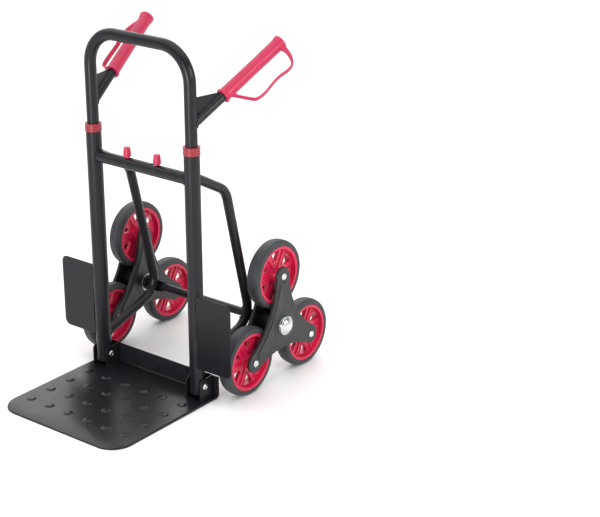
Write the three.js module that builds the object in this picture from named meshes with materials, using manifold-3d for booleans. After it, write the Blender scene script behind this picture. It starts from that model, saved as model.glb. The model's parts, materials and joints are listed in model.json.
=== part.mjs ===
// A folding stair-climbing sack truck: a telescoping tube frame on two three-wheel stars, with a hinged
// toe plate. Millimetres, +Z up. +X is across the truck, -Y is the load side with the toe plate, +Y the
// wheel side. Inside the truck group the origin lies on the floor midway between the two uprights. The
// group is then shifted along Y, so that the finished part's origin is the middle of its footprint.
import * as THREE from "three";
import { mergeVertices } from "three/addons/utils/BufferGeometryUtils.js";
import Module from "manifold-3d";

// ---- Driving dimensions ----
const GAP = 0.3; // between pieces that touch or turn on each other
const TURN = 2 * Math.PI;

const UPRIGHT_X = 144; // centreline of each upright, strut and handle leg
const UPRIGHT = { radius: 17.5, wall: 2, bottom: 17, top: 590 };
const LEG = { radius: 13.5, wall: 1.5, bottom: 200, top: 800.5, bend: 75 };
const CROSSBAR = { radius: 13.5, wall: 1.5, z: 517 };
const STRUT = { radius: 11, wall: 1.5, bend: 50 };
const COLLAR = { radius: 19, bottom: 574, top: 592, neck: 550 };
const LIFT = 280; // how far the handle pulls out

const STAR = { reach: 118, width: 62, boss: 22, waist: 55, plate: 8 };
const STAR_PANEL = { reach: 88, boss: 11, waist: 45, rise: 2.3 }; // the raised middle of each star's face
const STAR_HUB = { radius: 30, bore: 14, pad: 12 };
const WHEEL = { radius: 80, tyre: 34, hub: 38, seat: 66.8, web: 3.5, lip: 16 };
const WHEEL_BOLT = { pin: 4, hole: 4.6, head: 8 };
const AXLE = { radius: 10, halfLength: 254, ring: 18, ringX: 175, y: 192 };
AXLE.z = WHEEL.radius + STAR.reach / 2; // two wheels of each star stand on the floor
const STAR_X = AXLE.ringX + 4 + STAR.width / 2;
const BEARING = { outer: 21, width: 12 };

const GRIP = { z: 636, splay: 12, rise: 30, start: 98, length: 186, radius: 15 };
const GUARD = { tilt: 28, width: 10.7, thickness: 3, tipThickness: 11 }; // the flat bar round the fingers
const STUB = { radius: 11, wall: 1.5, length: 262 };

const TOE = { halfWidth: 178, front: -304, back: 33, top: 6, sheet: 3, corner: 50, flangeTop: 52 };
const DIMPLE = { radius: 11.5, height: 2.5, columns: 6, rows: 4, pitchX: 57.5, pitchY: 60, rearRow: -55 };
const HINGE = { z: 36, pin: 4, hole: 4.6, head: 7.5 };
const BRACKET = { inner: 122.5, outer: 165.5, front: -16, back: 29.7, bottom: 6.3, top: 55 };
const BRACKET_SHEET = 3;
const BRACKET_CORNER = 14;

const WING = { inner: 157, outer: 253.5, bottom: 83, top: 256.5, y: -12.7, sheet: 2.5, corner: 15 };
const KNOB = { x: 44, travel: 12, stem: 4 };
const LOCK = { pin: 4, hole: 4.6, slider: 11.2, sliderHalf: 13, tip: 130 };

// ---- Materials ----
const STEEL_BLACK = { color: 0x202225, roughness: 0.42, metalness: 0.3 };
const PLASTIC_RED = { color: 0xc8203c, roughness: 0.38, metalness: 0 };
const PLASTIC_BLACK = { color: 0x303336, roughness: 0.55, metalness: 0 };
const RUBBER = { color: 0x35373a, roughness: 0.75, metalness: 0 };
const ZINC = { color: 0xc3c6c9, roughness: 0.32, metalness: 0.9 };
const CHROME = { color: 0xdcdde0, roughness: 0.08, metalness: 1 };

function piece(name, geometry, finish) {
  const mesh = new THREE.Mesh(geometry, new THREE.MeshStandardMaterial(finish));
  mesh.name = name;
  return mesh;
}

// ---- Booleans ----
const wasm = await Module();
wasm.setup();

function solidOf(geometry) {
  const bare = geometry.clone();
  bare.deleteAttribute("normal");
  bare.deleteAttribute("uv");
  const merged = mergeVertices(bare, 1e-3);
  return new wasm.Manifold(
    new wasm.Mesh({
      numProp: 3,
      vertProperties: merged.attributes.position.array,
      triVerts: new Uint32Array(merged.index.array),
    }),
  );
}

function geometryOf(solid) {
  const { vertProperties, triVerts } = solid.getMesh();
  const geometry = new THREE.BufferGeometry();
  geometry.setAttribute("position", new THREE.BufferAttribute(vertProperties, 3));
  geometry.setIndex(new THREE.BufferAttribute(triVerts, 1));
  geometry.computeVertexNormals();
  return geometry;
}

function join(geometry, ...others) {
  return geometryOf(others.reduce((sum, other) => sum.add(solidOf(other)), solidOf(geometry)));
}

function cut(geometry, ...tools) {
  return geometryOf(tools.reduce((rest, tool) => rest.subtract(solidOf(tool)), solidOf(geometry)));
}

// ---- Shapes ----
const degrees = THREE.MathUtils.degToRad;

function circle(radius, hole = 0) {
  const shape = new THREE.Shape().absarc(0, 0, radius, 0, TURN);
  if (hole) shape.holes.push(new THREE.Path().absarc(0, 0, hole, 0, TURN));
  return shape;
}

// A shape drawn in XY and given a thickness along Z, centred on Z = 0.
function slab(shape, thickness, curveSegments = 4) {
  const settings = { depth: thickness, bevelEnabled: false, curveSegments };
  return new THREE.ExtrudeGeometry(shape, settings).translate(0, 0, -thickness / 2);
}

// Turns a body drawn around Z so that its thickness runs along X, its x along Y and its y along Z.
function facingX(geometry) {
  const [x, y, z] = [new THREE.Vector3(1, 0, 0), new THREE.Vector3(0, 1, 0), new THREE.Vector3(0, 0, 1)];
  return geometry.applyMatrix4(new THREE.Matrix4().makeBasis(y, z, x));
}

// A round body from [radius, height] pairs, listed up the outside and down the inside, around Z.
function turned(profile, sides) {
  const points = profile.map(([radius, height]) => new THREE.Vector2(radius, height));
  return new THREE.LatheGeometry(points, sides).rotateX(Math.PI / 2);
}

// The same around X, with the heights measured along +X.
function turnedAlongX(profile, sides) {
  return turned(profile, sides).rotateY(Math.PI / 2);
}

// A solid cylinder between two heights on Z, used for drilling.
function rod(radius, bottom, top, sides = 8) {
  return turned([[0, bottom], [radius, bottom], [radius, top], [0, top]], sides);
}

function block(width, depth, height, x, y, z) {
  return new THREE.BoxGeometry(width, depth, height).translate(x, y, z);
}

function roundedRectangle(left, bottom, right, top, corner) {
  return new THREE.Shape()
    .moveTo(left, bottom)
    .lineTo(right - corner, bottom)
    .absarc(right - corner, bottom + corner, corner, -Math.PI / 2, 0)
    .absarc(right - corner, top - corner, corner, 0, Math.PI / 2)
    .lineTo(left, top);
}

// A path that steps once along each straight run and evenly round each bend.
class BentRoute extends THREE.Curve {
  constructor(corners, bend, stepDegrees) {
    super();
    this.stations = [corners[0]];
    for (let i = 1; i < corners.length - 1; i++) {
      const arriving = corners[i].clone().sub(corners[i - 1]).normalize();
      const leaving = corners[i + 1].clone().sub(corners[i]).normalize();
      const turn = arriving.angleTo(leaving);
      const start = corners[i].clone().addScaledVector(arriving, -bend * Math.tan(turn / 2));
      const inward = leaving.clone().addScaledVector(arriving, -arriving.dot(leaving)).normalize();
      const steps = Math.ceil(turn / degrees(stepDegrees));
      for (let step = 0; step <= steps; step++) {
        const angle = (turn * step) / steps;
        const along = bend * Math.sin(angle);
        const across = bend * (1 - Math.cos(angle));
        this.stations.push(start.clone().addScaledVector(arriving, along).addScaledVector(inward, across));
      }
    }
    this.stations.push(corners.at(-1));
  }

  get steps() {
    return this.stations.length - 1;
  }

  getPointAt(share) {
    return this.stations[Math.round(share * this.steps)].clone();
  }

  getTangentAt(share) {
    const at = Math.round(share * this.steps);
    const before = this.stations[Math.max(at - 1, 0)];
    const after = this.stations[Math.min(at + 1, this.steps)];
    return after.clone().sub(before).normalize();
  }
}

function bentTube(route, radius, wall, sides) {
  const hole = wall ? radius - wall : 0;
  const settings = { steps: route.steps, extrudePath: route, bevelEnabled: false, curveSegments: sides / 2 };
  return new THREE.ExtrudeGeometry(circle(radius, hole), settings);
}

function straightTube(radius, wall, bottom, top, sides) {
  const settings = { depth: top - bottom, bevelEnabled: false, curveSegments: sides / 2 };
  return new THREE.ExtrudeGeometry(circle(radius, radius - wall), settings).translate(0, 0, bottom);
}

// ---- Frame ----
function pinHole(x, z) {
  return rod(LOCK.hole, -6, 6).rotateY(Math.PI / 2).translate(x, 0, z);
}

function upright() {
  const boltHole = rod(HINGE.hole, -30, 30).rotateY(Math.PI / 2).translate(0, 0, HINGE.z);
  const tube = straightTube(UPRIGHT.radius, UPRIGHT.wall, UPRIGHT.bottom, UPRIGHT.top, 20);
  return cut(tube, boltHole, pinHole(-UPRIGHT.radius, CROSSBAR.z));
}

// The upright's outside, grown by the welding gap, trims every tube that meets it.
function uprightTrimmer(x) {
  return rod(UPRIGHT.radius + GAP, 0, UPRIGHT.top, 20).translate(x, 0, 0);
}

function crossbar() {
  const half = UPRIGHT_X - 5;
  const tube = straightTube(CROSSBAR.radius, CROSSBAR.wall, -half, half, 16).rotateY(Math.PI / 2);
  const slotWidth = 2 * KNOB.stem + 1;
  const slotMiddle = KNOB.x - KNOB.travel / 2;
  const slots = [-1, 1].map((side) =>
    block(KNOB.travel + slotWidth, slotWidth, CROSSBAR.radius, side * slotMiddle, 0, CROSSBAR.radius),
  );
  const ends = [-1, 1].map((side) => uprightTrimmer(side * UPRIGHT_X).translate(0, 0, -CROSSBAR.z));
  return cut(tube, ...slots, ...ends);
}

// From the crossbar's height down and back, round behind the axle, and forward to the upright's foot.
const STRUT_CORNERS = [
  new THREE.Vector3(0, 6, 521.5),
  new THREE.Vector3(0, 108, 464.5),
  new THREE.Vector3(0, 186.6, 134),
  new THREE.Vector3(0, 6, 80),
];

function strutBody(radius, wall) {
  return bentTube(new BentRoute(STRUT_CORNERS, STRUT.bend, 18), radius, wall, 10);
}

function strut() {
  return cut(strutBody(STRUT.radius, STRUT.wall), uprightTrimmer(0));
}

// A bent strap around the back of the axle, slotted where the strut passes through it.
function axleSaddle() {
  const sheet = 3;
  const halfWidth = 21;
  const legLength = 17;
  const strap = (radius, length) =>
    new THREE.Shape()
      .moveTo(length, -radius)
      .lineTo(length, radius)
      .lineTo(0, radius)
      .absarc(0, 0, radius, Math.PI / 2, (3 * Math.PI) / 2);
  const inside = AXLE.radius + GAP;
  const leanDegrees = 155.5; // from the axle towards the middle of the strut's lower bend
  const lean = (geometry) => facingX(geometry.rotateZ(degrees(leanDegrees)));
  const outer = lean(slab(strap(inside + sheet, legLength), 2 * halfWidth, 6));
  const inner = lean(slab(strap(inside, legLength + 5), 2 * halfWidth + 2, 6));
  const passage = strutBody(STRUT.radius + GAP, 0).translate(0, -AXLE.y, -AXLE.z);
  return cut(outer, inner, passage);
}

function axle() {
  const chamfer = 1.5;
  const ringHalf = 3;
  const half = [
    [AXLE.radius, AXLE.ringX - ringHalf],
    [AXLE.ring, AXLE.ringX - ringHalf],
    [AXLE.ring, AXLE.ringX + ringHalf],
    [AXLE.radius, AXLE.ringX + ringHalf],
    [AXLE.radius, AXLE.halfLength - chamfer],
    [AXLE.radius - chamfer, AXLE.halfLength],
    [0, AXLE.halfLength],
  ];
  const mirrored = half.map(([radius, x]) => [radius, -x]).reverse();
  return turnedAlongX([...mirrored, ...half], 16);
}

function wing() {
  const outline = roundedRectangle(WING.inner, WING.bottom, WING.outer, WING.top, WING.corner);
  return slab(outline, WING.sheet, 3).rotateX(Math.PI / 2);
}

function collar() {
  const bore = LEG.radius + 0.4;
  const neck = UPRIGHT.radius - UPRIGHT.wall - GAP;
  const cup = UPRIGHT.radius + GAP;
  const profile = [
    [bore, COLLAR.neck],
    [neck, COLLAR.neck],
    [neck, UPRIGHT.top + GAP],
    [cup, UPRIGHT.top + GAP],
    [cup, COLLAR.bottom],
    [COLLAR.radius, COLLAR.bottom],
    [COLLAR.radius, COLLAR.top - 1],
    [COLLAR.radius - 1, COLLAR.top],
    [bore, COLLAR.top],
    [bore, COLLAR.neck],
  ];
  return turned(profile, 20);
}

// A steel pin with a domed head formed at both ends, from x = start to x = end.
function rivet(radius, head, start, end) {
  const rise = 3.5;
  const profile = [
    [0, start - rise],
    [head * 0.6, start - rise],
    [head, start - rise * 0.4],
    [head, start],
    [radius, start],
    [radius, end],
    [head, end],
    [head, end + rise * 0.4],
    [head * 0.6, end + rise],
    [0, end + rise],
  ];
  return turnedAlongX(profile, 8);
}

function hingeRivet() {
  return rivet(HINGE.pin, HINGE.head, BRACKET.inner - GAP, BRACKET.outer + GAP);
}

const HUB_FACE = STAR_X + STAR.width / 2;
const WASHER = { start: HUB_FACE + 0.6, thickness: 3, inner: 10.5, outer: 18.5 };
const CAP = { start: WASHER.start + WASHER.thickness + GAP, outer: 22, height: 12 };

function washer() {
  const { start, thickness, inner, outer } = WASHER;
  const end = start + thickness;
  return turnedAlongX([[inner, start], [outer, start], [outer, end], [inner, end], [inner, start]], 16);
}

function pushCap() {
  const { start, outer, height } = CAP;
  const mouth = AXLE.radius + 0.4;
  const inside = AXLE.halfLength + 0.6;
  const profile = [
    [0, inside],
    [mouth, inside],
    [mouth, start],
    [outer, start],
    [outer, start + 2],
    [outer * 0.86, start + height * 0.55],
    [outer * 0.5, start + height * 0.9],
    [0, start + height],
  ];
  return turnedAlongX(profile, 16);
}

// ---- Handle ----
function handleBow() {
  const corners = [
    new THREE.Vector3(-UPRIGHT_X, 0, LEG.bottom),
    new THREE.Vector3(-UPRIGHT_X, 0, LEG.top),
    new THREE.Vector3(UPRIGHT_X, 0, LEG.top),
    new THREE.Vector3(UPRIGHT_X, 0, LEG.bottom),
  ];
  const tube = bentTube(new BentRoute(corners, LEG.bend, 18), LEG.radius, LEG.wall, 12);
  const heights = [0, LIFT / 2, LIFT].map((raised) => CROSSBAR.z - raised);
  const holes = [-1, 1].flatMap((side) =>
    heights.map((z) => pinHole(side * (UPRIGHT_X - LEG.radius), z)),
  );
  return cut(tube, ...holes);
}

// Grip parts are drawn around Z from the leg's axis, with the hand guard towards +X.
const gripAxis = new THREE.Vector3(0, 0, 1)
  .applyAxisAngle(new THREE.Vector3(1, 0, 0), -degrees(90 - GRIP.rise))
  .applyAxisAngle(new THREE.Vector3(0, 0, 1), -degrees(GRIP.splay));

function gripPlacement() {
  const outward = new THREE.Vector3().crossVectors(gripAxis, new THREE.Vector3(0, 0, 1)).normalize();
  const guard = outward.applyAxisAngle(gripAxis, degrees(GUARD.tilt));
  const across = new THREE.Vector3().crossVectors(gripAxis, guard);
  return new THREE.Quaternion().setFromRotationMatrix(
    new THREE.Matrix4().makeBasis(guard, across, gripAxis),
  );
}

// The leg's outside, seen from a grip's own axes, trims the stub tube.
function legTrimmer(placement) {
  return rod(LEG.radius + GAP, -80, 80, 20).applyQuaternion(placement.clone().invert());
}

function gripStub(placement) {
  return cut(straightTube(STUB.radius, STUB.wall, 2, STUB.length, 12), legTrimmer(placement));
}

// [distance from the leg, distance from the sleeve's axis] along the middle of the finger guard
const GUARD_LINE = [
  [113, 13.4],
  [117.5, 21.5],
  [131, 47.5],
  [138.5, 59],
  [152, 62.7],
  [169.5, 62.6],
  [187, 60.4],
  [203, 58.8],
  [218, 59.1],
  [236, 61.9],
  [249.5, 60.8],
  [258.7, 55],
  [268.4, 40],
  [273.9, 22],
  [277, 12],
];

// A flat bar bent along the guard's line, which widens into the sleeve at its tip.
function guard() {
  const points = GUARD_LINE.map(([along, away]) => new THREE.Vector3(away, along, 0));
  const route = new THREE.CatmullRomCurve3(points, false, "centripetal");
  const steps = 28;
  const inner = [];
  const outer = [];
  for (let step = 0; step <= steps; step++) {
    const share = step / steps;
    const { x, y } = route.getPoint(share);
    const along = route.getTangent(share);
    const widening = Math.max(0, (share - 0.7) / 0.3) * (GUARD.tipThickness - GUARD.thickness);
    const half = (GUARD.thickness + widening) / 2;
    outer.push(new THREE.Vector2(x + along.y * half, y - along.x * half));
    inner.push(new THREE.Vector2(x - along.y * half, y + along.x * half));
  }
  return slab(new THREE.Shape([...outer, ...inner.reverse()]), GUARD.width).rotateX(Math.PI / 2);
}

function grip() {
  const flare = GRIP.radius + 2;
  const { start, radius } = GRIP;
  const end = start + GRIP.length;
  const bore = STUB.radius + 0.4;
  const sleeve = turned(
    [
      [bore, start],
      [flare, start],
      [flare, start + 4],
      [radius, start + 8],
      [radius, end - 16],
      [flare, end - 6],
      [flare, end - 2],
      [flare - 2, end],
      [0, end],
      [0, STUB.length + 1],
      [bore, STUB.length + 1],
      [bore, start],
    ],
    16,
  );
  return join(sleeve, guard());
}

// The plate that fills the angle between a leg and its grip stub.
function gusset() {
  const sheet = 2.5;
  const rise = degrees(GRIP.rise);
  const legSide = LEG.radius + GAP;
  const stubTop = (STUB.radius + GAP) / Math.cos(rise);
  const top = 60;
  const tipReach = (top - 2 - stubTop) / Math.tan(rise);
  const outline = new THREE.Shape()
    .moveTo(legSide, legSide * Math.tan(rise) + stubTop)
    .lineTo(tipReach, top - 2)
    .lineTo(tipReach - 1, top)
    .lineTo(legSide, top);
  return slab(outline, sheet).rotateX(Math.PI / 2).rotateZ(degrees(90 - GRIP.splay));
}

// ---- Handle lock ----
function lockPin() {
  const { pin, slider, sliderHalf, tip } = LOCK;
  const profile = [
    [0, KNOB.x - sliderHalf],
    [slider, KNOB.x - sliderHalf],
    [slider, KNOB.x + sliderHalf],
    [pin, KNOB.x + sliderHalf],
    [pin, tip - 2],
    [pin - 1.5, tip],
    [0, tip],
  ];
  const socket = rod(KNOB.stem + GAP, -6, slider + 2).translate(KNOB.x, 0, 0);
  return cut(turnedAlongX(profile, 12), socket);
}

function lockKnob() {
  const surface = CROSSBAR.radius;
  const profile = [
    [0, -5],
    [KNOB.stem, -5],
    [KNOB.stem, surface + 0.5],
    [5.5, surface + 0.5],
    [5.5, surface + 3],
    [9, surface + 3.5],
    [7.6, surface + 21],
    [6, surface + 23.5],
    [0, surface + 23.5],
  ];
  return turned(profile, 12);
}

class Helix extends THREE.Curve {
  constructor(radius, length, turns) {
    super();
    Object.assign(this, { radius, length, turns });
  }

  getPoint(share) {
    const angle = TURN * this.turns * share;
    const x = this.length * (share - 0.5);
    return new THREE.Vector3(x, this.radius * Math.cos(angle), this.radius * Math.sin(angle));
  }
}

function lockSpring() {
  const wire = 0.9;
  const turns = 6;
  const length = 2 * (KNOB.x - LOCK.sliderHalf - wire) - 1;
  const settings = { steps: turns * 7, extrudePath: new Helix(8, length, turns), curveSegments: 3 };
  return new THREE.ExtrudeGeometry(circle(wire), { ...settings, bevelEnabled: false });
}

// ---- Toe plate ----
function toePlate() {
  const { halfWidth, front, back, top, sheet, corner, flangeTop } = TOE;
  const slope = 28;
  const outline = (inset) =>
    new THREE.Shape()
      .moveTo(halfWidth - inset, back - inset)
      .lineTo(inset - halfWidth, back - inset)
      .absarc(corner - halfWidth, front + corner, corner - inset, Math.PI, (3 * Math.PI) / 2)
      .absarc(halfWidth - corner, front + corner, corner - inset, (3 * Math.PI) / 2, TURN);
  const body = slab(outline(0), top, 4).translate(0, 0, top / 2);
  const hollow = cut(
    slab(outline(sheet), top, 4).translate(0, 0, top / 2 - sheet),
    block(2 * halfWidth, slope, top, 0, front + slope / 2, 0),
  );
  const tilt = Math.atan((top - sheet) / slope);
  const slopeCutter = new THREE.BoxGeometry(2 * halfWidth + 20, 60, 20)
    .translate(0, -30, 10)
    .rotateX(tilt)
    .translate(0, front + slope, top);
  const flange = block(2 * halfWidth, sheet, flangeTop - sheet, 0, back - sheet / 2, (flangeTop + sheet) / 2);
  const dimples = [];
  for (let column = 0; column < DIMPLE.columns; column++) {
    for (let row = 0; row < DIMPLE.rows; row++) {
      const x = (column - (DIMPLE.columns - 1) / 2) * DIMPLE.pitchX;
      const y = DIMPLE.rearRow - row * DIMPLE.pitchY;
      const { radius, height } = DIMPLE;
      const profile = [[0, -1], [radius, -1], [radius, 0], [radius * 0.5, height], [0, height]];
      dimples.push(turned(profile, 6).translate(x, y, top));
    }
  }
  return join(cut(body, hollow, slopeCutter), flange, ...dimples);
}

// A U-shaped strap welded to the toe plate, with a cheek on each side of the upright's foot.
function hingeBracket() {
  const { inner, outer, front, back, bottom, top } = BRACKET;
  const [sheet, corner] = [BRACKET_SHEET, BRACKET_CORNER];
  const side = new THREE.Shape()
    .moveTo(back, bottom)
    .lineTo(back, top)
    .absarc(front + corner, top - corner, corner, Math.PI / 2, Math.PI)
    .lineTo(front, bottom);
  const width = outer - inner;
  const strap = facingX(slab(side, width, 3));
  const middle = (front + back) / 2 - sheet;
  const inside = block(width - 2 * sheet, back - front, top, 0, middle, bottom + top / 2 - 1);
  const hole = rod(HINGE.hole, -width, width).rotateY(Math.PI / 2).translate(0, 0, HINGE.z);
  return cut(strap, inside, hole);
}

// ---- Wheel stars ----
// Three round bosses joined by hollow curves that touch them smoothly and come within `waist` of the hub.
function starOutline(reach, boss, waist) {
  const step = boss - waist;
  const curveAway = (reach ** 2 - step ** 2) / (reach + 2 * step);
  const polar = (distance, angle) => new THREE.Vector2(distance, 0).rotateAround(new THREE.Vector2(), angle);
  const bearing = (from, to) => to.clone().sub(from).angle();
  const shape = new THREE.Shape();
  for (let arm = 0; arm < 3; arm++) {
    const angle = Math.PI / 2 + (arm * TURN) / 3;
    const tip = polar(reach, angle);
    const nextTip = polar(reach, angle + TURN / 3);
    const hollowBefore = polar(curveAway, angle - TURN / 6);
    const hollowAfter = polar(curveAway, angle + TURN / 6);
    shape.absarc(tip.x, tip.y, boss, bearing(tip, hollowBefore), bearing(tip, hollowAfter), false);
    const [from, to] = [bearing(hollowAfter, tip), bearing(hollowAfter, nextTip)];
    shape.absarc(hollowAfter.x, hollowAfter.y, curveAway - waist, from, to, true);
  }
  return shape;
}

function armTips() {
  return [0, 1, 2].map((arm) => {
    const angle = Math.PI / 2 + (arm * TURN) / 3;
    return [STAR.reach * Math.cos(angle), STAR.reach * Math.sin(angle)];
  });
}

// One moulded half of a star, drawn on the star's middle plane with its face towards +X.
function spider() {
  const face = STAR.width / 2;
  const plateFace = face - STAR_PANEL.rise;
  const plateBack = plateFace - STAR.plate;
  const plate = slab(starOutline(STAR.reach, STAR.boss, STAR.waist), STAR.plate, 3);
  const { reach, boss, waist, rise } = STAR_PANEL;
  const raised = slab(starOutline(reach, boss, waist), rise + 1, 2);
  const hub = rod(STAR_HUB.radius, GAP / 2, plateFace, 16);
  const padEnd = WHEEL.hub / 2 + GAP;
  const pads = armTips().map(([x, y]) => rod(STAR_HUB.pad, padEnd, plateBack + 1).translate(x, y, 0));
  const pocket = rod(BEARING.outer + GAP, face - BEARING.width - GAP, face + 5, 16);
  const bore = rod(STAR_HUB.bore, -1, face + 5, 12);
  const boltHoles = armTips().map(([x, y]) => rod(WHEEL_BOLT.hole, 0, face + 5).translate(x, y, 0));
  const body = join(
    plate.translate(0, 0, plateFace - STAR.plate / 2),
    raised.translate(0, 0, face - (rise + 1) / 2),
    hub,
    ...pads,
  );
  return facingX(cut(body, pocket, bore, ...boltHoles));
}

function bearing() {
  const start = STAR.width / 2 - BEARING.width;
  const end = STAR.width / 2 + GAP;
  const bore = AXLE.radius + 0.3;
  const profile = [
    [bore, start],
    [BEARING.outer, start],
    [BEARING.outer, end],
    [bore, end],
    [bore, start],
  ];
  return turnedAlongX(profile, 16);
}

function wheelBolt() {
  const seat = STAR.width / 2 - STAR_PANEL.rise + GAP;
  return rivet(WHEEL_BOLT.pin, WHEEL_BOLT.head, -seat, seat);
}

function rim() {
  const sides = 20;
  const half = [
    [WHEEL.seat, WHEEL.lip],
    [60.5, WHEEL.lip],
    [58, WHEEL.web],
    [16, WHEEL.web],
    [12.5, WHEEL.hub / 2],
    [4.4, WHEEL.hub / 2],
  ];
  const mirrored = half.map(([radius, x]) => [radius, -x]).reverse();
  const disc = turnedAlongX([...mirrored, ...half, mirrored[0]], sides);
  const spokes = 6;
  const opening = { inner: 33, outer: 54.5, innerHalf: 4.5, outerHalf: 13.5 };
  const windows = [];
  for (let i = 0; i < spokes; i++) {
    const outline = new THREE.Shape()
      .moveTo(opening.inner, -opening.innerHalf)
      .lineTo(opening.outer, -opening.outerHalf)
      .lineTo(opening.outer, opening.outerHalf)
      .lineTo(opening.inner, opening.innerHalf);
    windows.push(facingX(slab(outline, 12).rotateZ((i + 0.5) * (TURN / spokes))));
  }
  return cut(disc, ...windows);
}

function tyre() {
  const sides = 32;
  const outside = WHEEL.radius / Math.cos(Math.PI / sides); // the flats, not the corners, stand on the floor
  const bore = WHEEL.seat + 0.4;
  const half = [
    [outside, 11],
    [outside - 4.5, WHEEL.tyre / 2],
    [bore, WHEEL.lip],
  ];
  const mirrored = half.map(([radius, x]) => [radius, -x]).reverse();
  const geometry = turnedAlongX([...mirrored, ...half, mirrored[0]], sides);
  return geometry.rotateX(Math.PI / sides);
}

const TIP_NAMES = ["top", "front", "back"];

function star(side) {
  const group = new THREE.Group();
  const half = spider();
  const ring = bearing();
  const inward = new THREE.Vector3(-1, 1, 1);
  const outerSpider = piece(`spider_outer_${side}`, half, PLASTIC_BLACK);
  const innerSpider = piece(`spider_inner_${side}`, half, PLASTIC_BLACK);
  const outerBearing = piece(`bearing_outer_${side}`, ring, ZINC);
  const innerBearing = piece(`bearing_inner_${side}`, ring, ZINC);
  innerSpider.scale.copy(inward);
  innerBearing.scale.copy(inward);
  group.add(outerSpider, innerSpider, outerBearing, innerBearing);
  armTips().forEach(([y, z], tip) => {
    const wheel = new THREE.Group();
    wheel.position.set(0, y, z);
    wheel.add(
      piece(`wheel_bolt_${TIP_NAMES[tip]}_${side}`, wheelBolt(), ZINC),
      piece(`rim_${TIP_NAMES[tip]}_${side}`, rim(), PLASTIC_RED),
      piece(`tyre_${TIP_NAMES[tip]}_${side}`, tyre(), RUBBER),
    );
    group.add(wheel);
  });
  return group;
}

// ---- Assembly ----
function place(mesh, x, y, z) {
  mesh.position.set(x, y, z);
  return mesh;
}

// Every paired piece, drawn for the +X side; the -X side is its mirror image.
function sideOfTruck(side) {
  const group = new THREE.Group();
  const grips = new THREE.Group();
  const placement = gripPlacement();
  grips.position.set(UPRIGHT_X, 0, GRIP.z);
  const gripPieces = [
    piece(`grip_stub_${side}`, gripStub(placement), STEEL_BLACK),
    piece(`grip_${side}`, grip(), PLASTIC_RED),
  ];
  gripPieces.forEach((mesh) => mesh.quaternion.copy(placement));
  grips.add(...gripPieces, piece(`grip_gusset_${side}`, gusset(), STEEL_BLACK));
  const bracketX = (BRACKET.inner + BRACKET.outer) / 2;
  group.add(
    place(piece(`upright_${side}`, upright(), STEEL_BLACK), UPRIGHT_X, 0, 0),
    place(piece(`strut_${side}`, strut(), STEEL_BLACK), UPRIGHT_X, 0, 0),
    place(piece(`axle_saddle_${side}`, axleSaddle(), STEEL_BLACK), UPRIGHT_X, AXLE.y, AXLE.z),
    place(piece(`wing_${side}`, wing(), STEEL_BLACK), 0, WING.y, 0),
    place(piece(`collar_${side}`, collar(), PLASTIC_RED), UPRIGHT_X, 0, 0),
    place(piece(`hinge_rivet_${side}`, hingeRivet(), ZINC), 0, 0, HINGE.z),
    place(piece(`hinge_bracket_${side}`, hingeBracket(), STEEL_BLACK), bracketX, 0, 0),
    place(piece(`washer_${side}`, washer(), ZINC), 0, AXLE.y, AXLE.z),
    place(piece(`push_cap_${side}`, pushCap(), CHROME), 0, AXLE.y, AXLE.z),
    place(piece(`lock_pin_${side}`, lockPin(), ZINC), 0, 0, CROSSBAR.z),
    place(piece(`lock_knob_${side}`, lockKnob(), PLASTIC_RED), KNOB.x, 0, CROSSBAR.z),
    place(star(side), STAR_X, AXLE.y, AXLE.z),
    grips,
  );
  return group;
}

const truck = new THREE.Group();
const right = sideOfTruck("right");
const left = sideOfTruck("left");
left.scale.x = -1;
truck.add(
  right,
  left,
  place(piece("crossbar", crossbar(), STEEL_BLACK), 0, 0, CROSSBAR.z),
  place(piece("axle", axle(), STEEL_BLACK), 0, AXLE.y, AXLE.z),
  piece("handle_bow", handleBow(), STEEL_BLACK),
  place(piece("lock_spring", lockSpring(), ZINC), 0, 0, CROSSBAR.z),
  piece("toe_plate", toePlate(), STEEL_BLACK),
);
const back = AXLE.y + STAR.reach * Math.cos(Math.PI / 6) + WHEEL.radius;
truck.position.y = -(TOE.front + back) / 2;

const part = new THREE.Group();
part.add(truck);
export default part;
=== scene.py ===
import json
from math import atan2, ceil, cos, degrees, pi, radians, sin, sqrt, tan

import bmesh
import bpy
from mathutils import Matrix, Vector


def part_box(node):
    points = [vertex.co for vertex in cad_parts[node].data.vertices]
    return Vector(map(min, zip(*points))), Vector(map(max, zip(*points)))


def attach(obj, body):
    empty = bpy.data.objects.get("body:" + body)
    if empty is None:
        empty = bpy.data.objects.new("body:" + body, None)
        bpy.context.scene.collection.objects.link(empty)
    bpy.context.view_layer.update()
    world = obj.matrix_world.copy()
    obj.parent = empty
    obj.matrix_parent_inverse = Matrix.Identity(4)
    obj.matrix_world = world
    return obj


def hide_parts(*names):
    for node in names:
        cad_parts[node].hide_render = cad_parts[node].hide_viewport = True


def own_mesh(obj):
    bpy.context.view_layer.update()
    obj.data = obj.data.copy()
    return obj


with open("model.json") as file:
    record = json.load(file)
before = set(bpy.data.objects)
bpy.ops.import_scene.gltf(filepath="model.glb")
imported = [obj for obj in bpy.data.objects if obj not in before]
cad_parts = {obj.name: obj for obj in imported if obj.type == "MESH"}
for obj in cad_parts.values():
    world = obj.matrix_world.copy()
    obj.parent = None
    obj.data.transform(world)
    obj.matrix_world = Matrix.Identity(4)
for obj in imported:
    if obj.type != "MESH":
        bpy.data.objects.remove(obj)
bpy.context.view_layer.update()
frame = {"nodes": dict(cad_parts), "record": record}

MM = 0.001
X_AXIS, Y_AXIS, Z_AXIS = Vector((1, 0, 0)), Vector((0, 1, 0)), Vector((0, 0, 1))
SIDES = ("left", "right")
TIPS = ("top", "front", "back")


# ---- Places taken from the frame, in millimetres ----
def low_corner(node):
    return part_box(node)[0] / MM


def high_corner(node):
    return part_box(node)[1] / MM


def middle(node):
    return (low_corner(node) + high_corner(node)) / 2


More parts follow.
